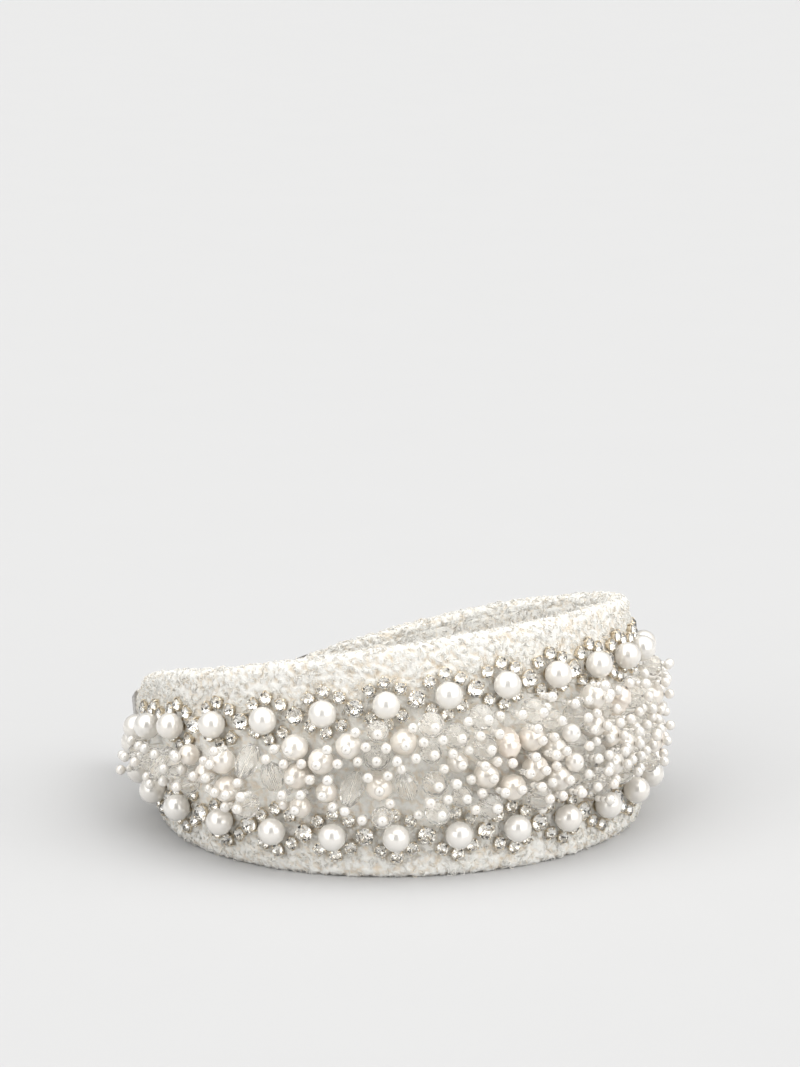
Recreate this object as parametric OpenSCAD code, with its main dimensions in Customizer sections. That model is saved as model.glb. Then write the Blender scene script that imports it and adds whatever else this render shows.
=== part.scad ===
// Wide padded headband, lying on one rim: a sprung core in a boucle wrap, two rows of
// pearl-and-rhinestone flowers, and a fringe of beads on stitched stems between them.
// The band is one bent strip. Places on it are given as (s, z): s runs along the outer face
// from the crown's middle towards the right tip, and z runs across, from the trim's mid line.

/* [Band] */
// Length of the outer face from the crown's middle to a tip
half_length = 204; // [200:1:208]
// Half the band's width at the crown
crown_half_width = 33.8; // [32.5:0.1:35]
// Angle that the band's mid plane makes with the surface it lies on
lie_angle = 6.5; // [6:0.1:7]
// Depth behind the crown at which the arms start to narrow faster
taper_start = 75; // [70:1:80]
// Radius of each rim's curve from there to the tip, seen from the side
taper_radius = 291; // [285:1:300]
// Depth of the frame's origin behind the crown's outer face
origin_depth = 69.2; // [60:0.1:80]

/* [Bend] */
// Radius and length of the crown's arc, along the outer face
crown_radius = 75; // [74:1:77]
crown_arc = 51; // [49:1:53]
// Radius and length of the shoulder's arc
shoulder_radius = 65; // [64:1:67]
shoulder_arc = 83; // [81:1:84]
// Radius and length of the arm's arc
arm_radius = 142; // [135:1:150]
arm_arc = 39; // [37:1:41]
// Radius of the outward flare that ends the arm
flare_radius = 108; // [100:1:120]

/* [Layers] */
// Thickness of the boucle wrap
cover_thickness = 1.1; // [0.9:0.1:1.2]
// Thickness of the foam pad
pad_thickness = 2.4; // [2.2:0.1:2.6]
// Thickness of the sprung core
core_thickness = 1.2; // [1:0.1:1.3]
// Thickness of the wrap where it is turned in over the core
turn_in_thickness = 1.0; // [0.9:0.1:1.1]
// Thickness of the lining over the turned-in edges
lining_thickness = 0.6; // [0.5:0.1:0.7]
// Distance of the core's edge from the rim
core_inset = 3; // [2.6:0.1:3.2]
// Width of the turned-in edge
turn_in = 5; // [4.6:0.1:5.2]
// Length of the metal cap on each tip
cap_length = 5; // [4:0.5:6]
// Wall of the cap
cap_wall = 0.4; // [0.3:0.1:0.5]

/* [Flex] */
// Distance along the outer face from the crown's middle to each flex line
flex_place = 106.3; // [106.2:0.1:106.4]
// Half angle of the V that lets the arms be squeezed inwards
flex_v = 3.2; // [3:0.1:3.5]
// Half the gap at the outer face
flex_gap = 0.15; // [0.1:0.05:0.2]

/* [Flower rows] */
// Spacing of the pearls along a row
pearl_pitch = 16.6; // [16.5:0.1:16.7]
// Diameter of a row pearl
pearl_size = 7.7; // [7.4:0.1:7.8]
// Diameter of a small stone's cup and of a large one's
small_cup = 3.6; // [3.4:0.1:3.6]
large_cup = 4.8; // [4.6:0.1:4.8]
// Distance of the small stones from their pearl's middle, and the angle between them
ring_radius = 5.8; // [5.75:0.05:5.9]
ring_step = 48; // [46:1:50]
// Distance of each row from its rim, were the trim centred across the band
row_inset = 13.5; // [13.3:0.1:13.7]
// How far the trim is set towards the lower rim
trim_drop = 1.3; // [0:0.1:1.5]

/* [Fringe] */
// Spacing of the fringe's big beads across the band
bead_pitch = 8.1; // [8:0.1:8.3]
// Diameter of a stopper pearl
stopper_size = 2.9; // [2.6:0.1:3]
// Diameter of a seed bead
seed_size = 1.9; // [1.7:0.1:2]
// Diameter of the thread and of the holes drilled for it
thread_size = 0.4; // [0.3:0.05:0.4]
drill_size = 0.7; // [0.6:0.05:0.8]
// Share of the gaps between beads that hold a seed stack
stack_share = 0.85; // [0.4:0.01:0.9]

/* [Hidden] */
$fn = 32;

// Layers, as offsets from the outer face; inwards is negative.
pad_outer = -cover_thickness;
core_outer = pad_outer - pad_thickness;
core_inner = core_outer - core_thickness;
turn_inner = core_inner - turn_in_thickness;
lining_inner = turn_inner - lining_thickness;
lining_inset = turn_in - 1.5;
step = 4;
side_step = 7;
side_steps = 15;
big = 200;
cap_play = 0.06;

// Regions of the band: 0 is the crown, -1 the left arm and 1 the right arm.
CROWN = 0;
LEFT = -1;
RIGHT = 1;
UPPER = 1;
LOWER = -1;

// ---- The band's bend ----

// Each arc of the bend as [length, radius]; the flare turns the other way.
ARCS = [[crown_arc, crown_radius], [shoulder_arc, shoulder_radius], [arm_arc, arm_radius],
    [big, -flare_radius]];

// Turning by an arc of length l and radius r, from the pose [x, y, heading].
function along(p, l, r) = let (t = p[2] + l / r * 180 / PI)
    [p[0] + r * (sin(t) - sin(p[2])), p[1] - r * (cos(t) - cos(p[2])), t];

function pose(s, i = 0, p = [0, 0, 0]) = s <= ARCS[i][0] || i == len(ARCS) - 1
    ? along(p, s, ARCS[i][1])
    : pose(s - ARCS[i][0], i + 1, along(p, ARCS[i][0], ARCS[i][1]));

// The plan point at s, a height h outside the outer face.
function plan(s, h = 0) = let (p = pose(abs(s)), g = s < 0 ? -1 : 1)
    [g * (p[0] + h * sin(p[2])), p[1] - h * cos(p[2])];
function heading(s) = (s < 0 ? -1 : 1) * pose(abs(s))[2];
function at(s, z, h) = [plan(s, h)[0], plan(s, h)[1], z - trim_drop];

// Half the band's width at a depth y behind the crown.
taper_half = crown_half_width - tan(lie_angle) * taper_start;
taper_centre = [taper_start - taper_radius * sin(lie_angle),
    taper_half - taper_radius * cos(lie_angle)];
function rim(y) = y <= taper_start
    ? crown_half_width - tan(lie_angle) * y
    : taper_centre[1] + sqrt(taper_radius ^ 2 - (y - taper_centre[0]) ^ 2);
function row_z(s) = max(rim(plan(s)[1]) - row_inset, 0);

// From the band's own plane to the pose in which it lies on its rim.
module lay() {
    translate([0, -origin_depth, crown_half_width * cos(lie_angle)])
        rotate([-lie_angle, 0, 0]) children();
}

// Children drawn on the band at (s, z), with their z axis pointing out of the outer face.
module on_band(s, z, h = 0) {
    translate(at(s, z, h)) rotate([90, 0, heading(s)]) children();
}

// ---- The strip and its layers ----

// Places along the band from a to b, at even steps.
function places(a, b) = let (n = ceil(abs(b - a) / step)) [for (i = [0:n]) a + (b - a) * i / n];

// The side view between the two rims, taken in by inset.
module side_profile(inset) {
    depths = concat([-20], [for (i = [0:side_steps]) taper_start + i * side_step]);
    rotate([90, 0, 90]) linear_extrude(height = big, center = true)
        polygon(concat([for (y = depths) [y, rim(y) - inset]],
            [for (i = [len(depths) - 1:-1:0]) [depths[i], inset - rim(depths[i])]]));
}

// Where a layer at a given offset ends beside a flex line, on side g of it.
function flex_edge(offset, g) = flex_place + g * (flex_gap - offset * tan(flex_v));
function arm_end(region, offset) = region == CROWN ? flex_edge(offset, -1) : half_length;
function arm_start(region, offset) = region == CROWN ? -flex_edge(offset, -1) : flex_edge(offset, 1);

// One region of the strip between two offsets, with its ends at start and end.
module strip(lo, hi, starts, ends, inset) {
    outline = concat([for (s = places(starts[1], ends[1])) plan(s, hi)],
        [for (s = places(ends[0], starts[0])) plan(s, lo)]);
    intersection() {
        linear_extrude(height = big / 2, center = true) polygon(outline);
        side_profile(inset);
    }
}

module layer(region, lo, hi, inset) {
    mirror([region == LEFT ? 1 : 0, 0, 0])
        strip(lo, hi, [arm_start(region, lo), arm_start(region, hi)],
            [arm_end(region, lo), arm_end(region, hi)], inset);
}

module core(region) {
    color("gainsboro") layer(region, core_inner, core_outer, core_inset);
}

module pad(region) {
    color("oldlace") layer(region, core_outer, pad_outer, cover_thickness);
}

module cover(region) {
    color("ivory") difference() {
        layer(region, turn_inner, 0, 0);
        layer(region, core_outer, pad_outer, cover_thickness);
        layer(region, core_inner, core_outer, core_inset);
        layer(region, turn_inner, core_inner, turn_in);
    }
}

module lining(region) {
    color("linen") {
        layer(region, lining_inner, turn_inner, lining_inset);
        layer(region, turn_inner, core_inner, turn_in);
    }
}

module tip_cap(region) {
    wall = cap_play + cap_wall;
    mouth = half_length - cap_length;
    behind = mouth - cap_length;
    mirror([region == LEFT ? 1 : 0, 0, 0]) color("silver") difference() {
        strip(lining_inner - wall, wall, [mouth, mouth],
            [half_length + wall, half_length + wall], -wall);
        strip(lining_inner - cap_play, cap_play, [behind, behind],
            [half_length + cap_play, half_length + cap_play], -cap_play);
    }
}

// ---- The flower rows ----

// Pearls sit at even steps, with a little more room at the flex lines.
flex_index = 6;
last_index = 9;
flex_room = 1.4;
seat_height = 0.4;
large_shift = 0.6;
end_pearl = 162;
inner_ring_last = 7;
function pearl_s(i) = i * pearl_pitch + (abs(i) > flex_index ? sign(i) * flex_room : 0);
function region_of(s) = abs(s) < flex_place ? CROWN : sign(s);

// A row's pearls as [s, z, side]; both arms share one closing pearl where the rows meet.
function row_pearls(side) = [for (i = [-last_index:last_index])
    [pearl_s(i), side * row_z(pearl_s(i)), side, i]];
END_PEARLS = [[-end_pearl, 0, 0, -last_index - 1], [end_pearl, 0, 0, last_index + 1]];

// Small stones round one pearl: three outside it, three inside, as [s, z].
function ring(p) = concat(
    [for (a = [-ring_step, 0, ring_step]) let (b = 90 + a)
        if (p[2] != 0) [p[0] + ring_radius * cos(b), p[1] + p[2] * ring_radius * sin(b)]],
    [for (a = [-ring_step, 0, ring_step]) let (b = 90 + a)
        if (p[2] != 0 && abs(p[3]) <= inner_ring_last)
            [p[0] + ring_radius * cos(b), p[1] - p[2] * ring_radius * sin(b)]],
    [for (a = [-ring_step, 0, ring_step])
        if (p[2] == 0) [p[0] + sign(p[0]) * ring_radius * cos(a), ring_radius * sin(a)]]);

// A large stone between each pearl and the next; the one at a flex line sits on the arm.
function large_s(i) = abs(i) == flex_index + 0.5
    ? sign(i) * (flex_place + large_shift + large_cup / 2)
    : (pearl_s(floor(i)) + pearl_s(ceil(i))) / 2;
function row_large(side) = [for (i = [-last_index + 0.5:last_index - 0.5])
    [large_s(i), side * row_z(large_s(i))]];

function in_region(list, region) = [for (p = list) if (region_of(p[0]) == region) p];
function ring_stones(pearls) = [for (p = pearls) each ring(p)];
ALL_PEARLS = concat(row_pearls(UPPER), row_pearls(LOWER), END_PEARLS);
ALL_SMALL = ring_stones(ALL_PEARLS);
ALL_LARGE = concat(row_large(UPPER), row_large(LOWER));
// On the crown each side has its own nodes; on an arm both rows share them.
function of_row(list, region, side) = [for (p = in_region(list, region))
    if (side == 0 || sign(p[1]) == side) p];

module ball(size) {
    rotate_extrude() intersection() {
        circle(d = size);
        translate([drill_size / 2, -size]) square([size, 2 * size]);
    }
}

module pearls(list) {
    color("floralwhite") for (p = list)
        on_band(p[0], p[1], seat_height + pearl_size / 2) ball(pearl_size);
}

// A disc under each pearl, with a peg up its drilled hole.
module seats(list) {
    color("silver") for (p = list) on_band(p[0], p[1], 0.02) rotate_extrude()
        polygon([[0, 0], [pearl_size * 0.26, 0], [pearl_size * 0.26, seat_height - 0.05],
            [drill_size * 0.4, seat_height - 0.05], [drill_size * 0.4, pearl_size * 0.6],
            [0, pearl_size * 0.6]]);
}

// Cup and stone heights, in cup diameters.
cup_wall = 0.25;
cup_floor = 0.3;
cup_height = 0.42;
girdle = 0.4;
girdle_depth = 0.05;
stone_top = 0.66;
table_share = 0.55;

module cup(size) {
    rotate_extrude() polygon([[0, 0], [size * 0.38, 0], [size / 2, size * cup_height],
        [size / 2 - cup_wall, size * cup_height], [size * 0.38 - cup_wall, cup_floor],
        [0, cup_floor]]);
}

module stone(size) {
    r = size / 2 - cup_wall - 0.12;
    rotate_extrude() polygon([[0, cup_floor + 0.1], [r * 0.25, cup_floor + 0.1],
        [r, size * girdle], [r, size * (girdle + girdle_depth)],
        [r * table_share, size * stone_top], [0, size * stone_top]]);
}

module cups(small, large) {
    color("silver") {
        for (p = small) on_band(p[0], p[1], 0.02) cup(small_cup);
        for (p = large) on_band(p[0], p[1], 0.02) cup(large_cup);
    }
}

module stones(list, size) {
    color("lightsteelblue") for (p = list) on_band(p[0], p[1], 0.02) stone(size);
}

// ---- The fringe ----

columns = 15;
column_pitch = flex_place / columns;
fringe_end = 150;
base_gap = 0.25;
big_pearl = 7.7;
small_pearl = 6.3;
big_crystal = 7.4;
small_crystal = 6.2;
raised = 6.3;
lift = 1.6;
wander = 0.15;
foot_height = 1;
foot_slack = 0.05;
stopper_seat = 0.51;
baroque_gap = 0.55;
long_share = 0.42;
baroque_share = 0.45;

// One steady random number from 0 to 1 for a bead's two indices.
function chance(a, b, n) = rands(0, 1, 1, 1009 * a + 31 * b + 7 * n + 20000)[0];

// The stones and pearls of the rows near s, as points with the radius that each one fills.
function hard_spots(s) = concat(
    [for (q = ALL_SMALL) if (abs(q[0] - s) < 12) [at(q[0], q[1], 1.0), small_cup * 0.62]],
    [for (q = ALL_LARGE) if (abs(q[0] - s) < 12) [at(q[0], q[1], 1.2), large_cup * 0.62]],
    [for (q = ALL_PEARLS) if (abs(q[0] - s) < 14)
        [at(q[0], q[1], seat_height + pearl_size / 2), pearl_size / 2]]);
// Distance from a point to the surface of the nearest spot.
function room(p, spots) = min(concat([big], [for (q = spots) norm(p - q[0]) - q[1]]));

// Columns of the grid: k counts from the crown's middle, with 0 and -1 on either side of it.
function column_s(k) = (k + 0.5) * column_pitch;
function column_shift(k) = abs(k + 0.5) % 2 < 1 ? 0 : bead_pitch / 2;
column_last = floor(fringe_end / column_pitch) - 1;
rows_each_way = 2;

// The places that one column has, as row numbers, between the two flower rows.
function fits(k, j, size) = let (s = column_s(k), z = j * bead_pitch + column_shift(k),
    spots = hard_spots(s)) abs(z) < row_z(s) - 3
        && room(at(s, z, raised), spots) > size / 2 + 0.05
        && room(at(s, z, foot_height), spots) > -foot_slack;
function column_rows(k) = [for (j = [-rows_each_way:rows_each_way]) if (fits(k, j, small_pearl)) j];

// A column may hold one long bead across two places, with its first row or undef.
function by_flex(k) = k == columns - 1 || k == columns || k == -columns || k == -columns - 1;
function on_arm(k) = abs(k + 0.5) > columns;
function long_row(k) = let (rows = column_rows(k))
    !by_flex(k) && len(rows) >= 2 && (on_arm(k) || chance(k, 0, 1) < long_share)
        ? rows[floor(chance(k, 0, 2) * (len(rows) - 1))] : undef;

// A round bead: [s, z, h, size, is pearl, k, j].
function round_bead(k, j) = let (
    pearl = chance(k, j, 3) < 0.52,
    little = by_flex(k) || chance(k, j, 4) < 0.22 || !fits(k, j, big_pearl),
    size = pearl ? (little ? small_pearl : big_pearl) : (little ? small_crystal : big_crystal),
    slack = (big_pearl - size) * (by_flex(k) ? 0.1 : 0.35) + wander,
    s = column_s(k) + slack * (2 * chance(k, j, 5) - 1),
    z = j * bead_pitch + column_shift(k) + slack * (2 * chance(k, j, 6) - 1),
    low = size / 2 + base_gap + lift * chance(k, j, 7),
    h = room(at(s, z, low), hard_spots(s)) > size / 2 + 0.1 ? low : max(low, raised)
) [s, z, h, size, pearl, k, j];
ROUND = [for (k = [-column_last - 1:column_last])
    let (rows = column_rows(k), long = long_row(k))
    for (j = rows) if (is_undef(long) || (j != long && j != long + 1)) round_bead(k, j)];

// A long bead leans out of the band: [s, z, h, length, width, side it leans to, turn, k].
oval_size = [10.6, 6.4];
baroque_size = [9.4, 6.9];
lean = 35;
function long_bead(k, j, up) = let (
    baroque = !on_arm(k) && chance(k, j, 8) < baroque_share,
    size = baroque ? baroque_size : oval_size,
    h = norm([size[0] / 2 * sin(lean), size[1] / 2 * cos(lean)])
        + (baroque ? baroque_gap : base_gap)
) [column_s(k), (j + 0.5) * bead_pitch + column_shift(k), h, size[0], size[1], up,
    24 * (2 * chance(k, j, 10) - 1), k, baroque];

// It leans the other way where its stem would otherwise start under a stone.
function foot_room(b) = room(at(b[0], b[1], b[2])
    - long_axis(b) * (b[2] - foot_height) / sin(lean), hard_spots(b[0]));
function leaning_bead(k, j) = let (up = chance(k, j, 9) < 0.5 ? -1 : 1,
    one = long_bead(k, j, up), other = long_bead(k, j, -up))
    foot_room(one) > foot_room(other) || foot_room(one) > 0.3 ? one : other;
LONG = [for (k = [-column_last - 1:column_last]) let (j = long_row(k))
    if (!is_undef(j)) leaning_bead(k, j)];

// Points along a long bead's axis, from its middle, and the balls that bound it.
function long_axis(b) = let (s = b[0], a = heading(s), t = b[6])
    let (across = [0, 0, b[5] * cos(t)], level = [cos(a), sin(a), 0] * sin(t),
        out = [sin(a), -cos(a), 0]) (across + level) * cos(lean) + out * sin(lean);
function long_balls(b) = let (c = at(b[0], b[1], b[2]), d = long_axis(b))
    [[c, b[4] / 2], [c + d * b[3] * 0.3, b[4] * 0.37], [c - d * b[3] * 0.3, b[4] * 0.37]];

// Everything that a seed stack has to stay clear of, near s.
function crowd(s) = concat(hard_spots(s),
    [for (b = ROUND) if (abs(b[0] - s) < 12) each [[at(b[0], b[1], b[2]), b[3] / 2],
        [at(b[0], b[1], b[2] + b[3] / 2 + stopper_size * stopper_seat), stopper_size / 2]]],
    [for (b = LONG) if (abs(b[0] - s) < 14) each concat(long_balls(b),
        [[at(b[0], b[1], b[2]) + long_axis(b) * (b[3] / 2 + stopper_size * stopper_seat),
            stopper_size / 2]])]);

// Seed stacks stand in the gaps of the grid: [s, z, height of the first bead, seeds].
// A stack starts at the lowest of a few heights at which it clears the crowd.
stack_starts = [2.2, 3.6, 4.8, 5.8, 6.8, 7.8];
function stack_height(seeds) = seeds * seed_size + stopper_size;
function stack_clear(s, z, start, seeds, spots) = min(concat([for (i = [0:2:6])
        room(at(s, z, start * i / 6), spots) - thread_size / 2 - 0.05],
    [for (i = [0:1:seeds - 1])
        room(at(s, z, start + seed_size * (i + 0.5)), spots) - seed_size * 0.62],
    [room(at(s, z, start + seeds * seed_size + stopper_size / 2), spots)
        - stopper_size / 2 - 0.03])) > 0;
function stack_at(s, z, seeds, spots) = [for (start = stack_starts)
    if (stack_clear(s, z, start, seeds, spots)) start];
function stacks_of(k, j, g) = let (
    s = column_s(k) + g * column_pitch / 3,
    z = (j + 0.5) * bead_pitch + column_shift(k),
    seeds = floor(3 * chance(k, j, 11 + g)),
    flex_room = abs(abs(s) - flex_place) > 2.6,
    spots = crowd(s),
    starts = chance(k, j, 14 + g) < stack_share && flex_room && abs(z) < row_z(s) - 2.5
        ? stack_at(s, z, seeds, spots) : []
) len(starts) > 0 ? [[s, z, starts[0], seeds]] : [];
STACKS = [for (k = [-column_last - 1:column_last]) for (j = [-rows_each_way - 1:rows_each_way])
    for (g = [-1, 1]) each stacks_of(k, j, g)];

module gem(length, width) {
    b = drill_size / 2;
    w = width / 2;
    l = length / 2;
    rotate_extrude() polygon([[b, -l], [w * 0.42, -l * 0.93], [w * 0.82, -l * 0.6],
        [w, -l * 0.2], [w, l * 0.2], [w * 0.82, l * 0.6], [w * 0.42, l * 0.93], [b, l]]);
}

module baroque(length, width) {
    b = drill_size / 2;
    w = width / 2;
    l = length / 2;
    rotate_extrude() polygon([[b, -l], [w * 0.5, -l * 0.94], [w * 0.86, -l * 0.68],
        [w * 0.97, -l * 0.36], [w, 0], [w * 0.97, l * 0.36], [w * 0.86, l * 0.68],
        [w * 0.5, l * 0.94], [b, l]]);
}

// Children drawn on a long bead's axis, at a distance from its middle.
module on_long(b, d = 0) {
    on_band(b[0], b[1], b[2]) rotate([0, 0, -b[6] * b[5]]) rotate([-b[5] * (90 - lean), 0, 0])
        translate([0, 0, d]) children();
}

module fringe_pearls(region) {
    color("floralwhite") for (b = in_region(ROUND, region))
        if (b[4]) on_band(b[0], b[1], b[2]) ball(b[3]);
}

module fringe_crystals(region) {
    color("whitesmoke") for (b = in_region(ROUND, region))
        if (!b[4]) on_band(b[0], b[1], b[2]) gem(b[3] * 0.94, b[3]);
}

module fringe_ovals(region) {
    color("whitesmoke") for (b = in_region(LONG, region)) if (!b[8]) on_long(b) gem(b[3], b[4]);
}

module fringe_baroques(region) {
    color("seashell") for (b = in_region(LONG, region)) if (b[8]) on_long(b) baroque(b[3], b[4]);
}

// A stopper pearl sits on the end of each stem and each stack.
module fringe_stoppers(region) {
    color("white") {
        for (b = in_region(ROUND, region))
            on_band(b[0], b[1], b[2] + b[3] / 2 + stopper_size * stopper_seat) ball(stopper_size);
        for (b = in_region(LONG, region)) on_long(b, b[3] / 2 + stopper_size * stopper_seat)
            ball(stopper_size);
        for (t = in_region(STACKS, region))
            on_band(t[0], t[1], t[2] + t[3] * seed_size + stopper_size / 2) ball(stopper_size);
    }
}

module fringe_seeds(region) {
    color("snow") for (t = in_region(STACKS, region)) for (i = [0:1:t[3] - 1])
        on_band(t[0], t[1], t[2] + seed_size * i + 0.05) rotate_extrude()
            translate([drill_size / 2, 0]) square([(seed_size - drill_size) / 2, seed_size - 0.1]);
}

module thread(length) {
    cylinder(d = thread_size, h = length);
}

module fringe_threads(region) {
    color("white") {
        for (b = in_region(ROUND, region))
            on_band(b[0], b[1], 0.03) thread(b[2] + b[3] / 2 + stopper_size * 0.9);
        for (b = in_region(LONG, region)) let (below = b[2] / sin(lean) - 0.4)
            on_long(b, -below) thread(below + b[3] / 2 + stopper_size * 0.9);
        for (t = in_region(STACKS, region))
            on_band(t[0], t[1], 0.03) thread(t[2] + t[3] * seed_size + stopper_size * 0.95);
    }
}

// ---- Nodes ----

module row_node(kind, region, side) {
    small = of_row(ALL_SMALL, region, side);
    large = of_row(ALL_LARGE, region, side);
    if (kind == "pearls") pearls(of_row(ALL_PEARLS, region, side));
    if (kind == "seats") seats(of_row(ALL_PEARLS, region, side));
    if (kind == "cups") cups(small, large);
    if (kind == "small_stones") stones(small, small_cup);
    if (kind == "large_stones") stones(large, large_cup);
}

lay() core(CROWN);  // crown_core
lay() pad(CROWN);  // crown_pad
lay() cover(CROWN);  // crown_cover
lay() lining(CROWN);  // crown_lining
lay() core(LEFT);  // left_arm_core
lay() pad(LEFT);  // left_arm_pad
lay() cover(LEFT);  // left_arm_cover
lay() lining(LEFT);  // left_arm_lining
lay() tip_cap(LEFT);  // left_tip_cap
lay() core(RIGHT);  // right_arm_core
lay() pad(RIGHT);  // right_arm_pad
lay() cover(RIGHT);  // right_arm_cover
lay() lining(RIGHT);  // right_arm_lining
lay() tip_cap(RIGHT);  // right_tip_cap
lay() row_node("pearls", CROWN, UPPER);  // upper_row_pearls
lay() row_node("seats", CROWN, UPPER);  // upper_row_seats
lay() row_node("cups", CROWN, UPPER);  // upper_row_cups
lay() row_node("small_stones", CROWN, UPPER);  // upper_row_small_stones
lay() row_node("large_stones", CROWN, UPPER);  // upper_row_large_stones
lay() row_node("pearls", CROWN, LOWER);  // lower_row_pearls
lay() row_node("seats", CROWN, LOWER);  // lower_row_seats
lay() row_node("cups", CROWN, LOWER);  // lower_row_cups
lay() row_node("small_stones", CROWN, LOWER);  // lower_row_small_stones
lay() row_node("large_stones", CROWN, LOWER);  // lower_row_large_stones
lay() row_node("pearls", LEFT, 0);  // left_row_pearls
lay() row_node("seats", LEFT, 0);  // left_row_seats
lay() row_node("cups", LEFT, 0);  // left_row_cups
lay() row_node("small_stones", LEFT, 0);  // left_row_small_stones
lay() row_node("large_stones", LEFT, 0);  // left_row_large_stones
lay() row_node("pearls", RIGHT, 0);  // right_row_pearls
lay() row_node("seats", RIGHT, 0);  // right_row_seats
lay() row_node("cups", RIGHT, 0);  // right_row_cups
lay() row_node("small_stones", RIGHT, 0);  // right_row_small_stones
lay() row_node("large_stones", RIGHT, 0);  // right_row_large_stones
lay() fringe_pearls(CROWN);  // crown_fringe_pearls
lay() fringe_baroques(CROWN);  // crown_fringe_baroques
lay() fringe_crystals(CROWN);  // crown_fringe_crystals
lay() fringe_ovals(CROWN);  // crown_fringe_ovals
lay() fringe_stoppers(CROWN);  // crown_fringe_stoppers
lay() fringe_seeds(CROWN);  // crown_fringe_seeds
lay() fringe_threads(CROWN);  // crown_fringe_threads
lay() fringe_pearls(LEFT);  // left_fringe_pearls
lay() fringe_crystals(LEFT);  // left_fringe_crystals
lay() fringe_ovals(LEFT);  // left_fringe_ovals
lay() fringe_stoppers(LEFT);  // left_fringe_stoppers
lay() fringe_seeds(LEFT);  // left_fringe_seeds
lay() fringe_threads(LEFT);  // left_fringe_threads
lay() fringe_pearls(RIGHT);  // right_fringe_pearls
lay() fringe_crystals(RIGHT);  // right_fringe_crystals
lay() fringe_ovals(RIGHT);  // right_fringe_ovals
lay() fringe_stoppers(RIGHT);  // right_fringe_stoppers
lay() fringe_seeds(RIGHT);  // right_fringe_seeds
lay() fringe_threads(RIGHT);  // right_fringe_threads
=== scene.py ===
"""The beaded headband's looks: boucle wrap and lining, pearls, cut crystals, claw-set stones."""

import math

import bpy
import numpy as np
from mathutils import Matrix, Vector
from mathutils.bvhtree import BVHTree


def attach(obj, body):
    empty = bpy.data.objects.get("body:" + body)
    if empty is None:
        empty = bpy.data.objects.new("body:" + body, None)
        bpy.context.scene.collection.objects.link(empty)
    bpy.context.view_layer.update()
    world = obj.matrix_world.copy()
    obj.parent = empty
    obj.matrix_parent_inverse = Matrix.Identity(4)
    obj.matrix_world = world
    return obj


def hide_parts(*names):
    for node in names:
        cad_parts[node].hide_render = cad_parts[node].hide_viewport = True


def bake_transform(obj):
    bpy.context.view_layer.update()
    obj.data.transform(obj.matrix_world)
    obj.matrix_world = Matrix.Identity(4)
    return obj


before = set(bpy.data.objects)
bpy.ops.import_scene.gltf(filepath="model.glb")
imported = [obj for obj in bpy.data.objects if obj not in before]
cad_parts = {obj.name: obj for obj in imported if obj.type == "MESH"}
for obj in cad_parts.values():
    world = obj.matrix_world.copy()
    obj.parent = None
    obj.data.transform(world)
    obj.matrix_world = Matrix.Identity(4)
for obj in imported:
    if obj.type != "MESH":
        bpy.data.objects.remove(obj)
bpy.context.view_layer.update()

MM = 0.001
LEFT, RIGHT = -1, 1
SIDE_NAMES = {LEFT: "left", RIGHT: "right"}

# ---- The band's own curve, in millimetres ----

# Length and radius of each stretch of one side, from the crown's middle to the tip.
ARCS = ((51.0, 75.0), (83.0, 65.0), (39.0, 142.0), (200.0, -108.0))
HALF_LENGTH = 204.0
CROWN_HALF_WIDTH = 33.8
LIE_ANGLE = math.radians(6.5)
TAPER_START, TAPER_RADIUS = 75.0, 291.0
ORIGIN_DEPTH = 69.2
FLEX_PLACE = 106.3
FLEX_REACH = 11.0
CAP_LENGTH = 5.0
THICKNESS = 5.7


def along_band(s):
    """Plan position and heading at distances s >= 0 from the crown's middle."""
    s = np.asarray(s, float)
    x, y, turn = np.zeros_like(s), np.zeros_like(s), np.zeros_like(s)
    start = 0.0
    for length, radius in ARCS:
        part = np.clip(s - start, 0, length)
        after = turn + part / radius
        x += radius * (np.sin(after) - np.sin(turn))
        y -= radius * (np.cos(after) - np.cos(turn))
        turn = after
        start += length
    return x, y, turn


def half_width(s):
    """Half the band's width at distances s >= 0 from the crown's middle."""
    y = along_band(s)[1]
    straight = CROWN_HALF_WIDTH - math.tan(LIE_ANGLE) * y
    centre_y = TAPER_START - TAPER_RADIUS * math.sin(LIE_ANGLE)
    centre_z = CROWN_HALF_WIDTH - math.tan(LIE_ANGLE) * TAPER_START - TAPER_RADIUS * math.cos(LIE_ANGLE)
    curved = centre_z + np.sqrt(TAPER_RADIUS**2 - (y - centre_y) ** 2)
    return np.where(y <= TAPER_START, straight, curved)


def lay(points):
    """From the band's own plane to the way it lies on its rim, in metres."""
    x, y, z = points[..., 0], points[..., 1], points[..., 2]
    c, t = math.cos(LIE_ANGLE), math.sin(LIE_ANGLE)
    laid = np.stack([x, y * c + z * t - ORIGIN_DEPTH, z * c - y * t + CROWN_HALF_WIDTH * c], axis=-1)
    return laid * MM


def band_point(side, s, out, across):
    """The point at s along one side, out from the outer face and across from the mid line."""
    x, y, turn = along_band(s)
    return lay(np.stack([side * (x + out * np.sin(turn)), y - out * np.cos(turn),
                         across + 0 * x], axis=-1))


# ---- Meshes ----


def new_object(name, points, faces, materials, smooth=True, face_material=None, tone=None):
    """A mesh object from arrays of points and faces."""
    mesh = bpy.data.meshes.new(name)
    mesh.from_pydata(np.asarray(points).tolist(), [], [tuple(int(i) for i in f) for f in faces])
    for material in materials:
        mesh.materials.append(material)
    mesh.polygons.foreach_set("use_smooth", np.full(len(mesh.polygons), smooth))
    if face_material is not None:
        mesh.polygons.foreach_set("material_index", np.asarray(face_material, np.int32))
    if tone is not None:
        attribute = mesh.attributes.new("tone", "FLOAT", "POINT")
        attribute.data.foreach_set("value", np.asarray(tone, np.float32))
    mesh.validate()
    obj = bpy.data.objects.new(name, mesh)
    bpy.context.scene.collection.objects.link(obj)
    return obj


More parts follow.
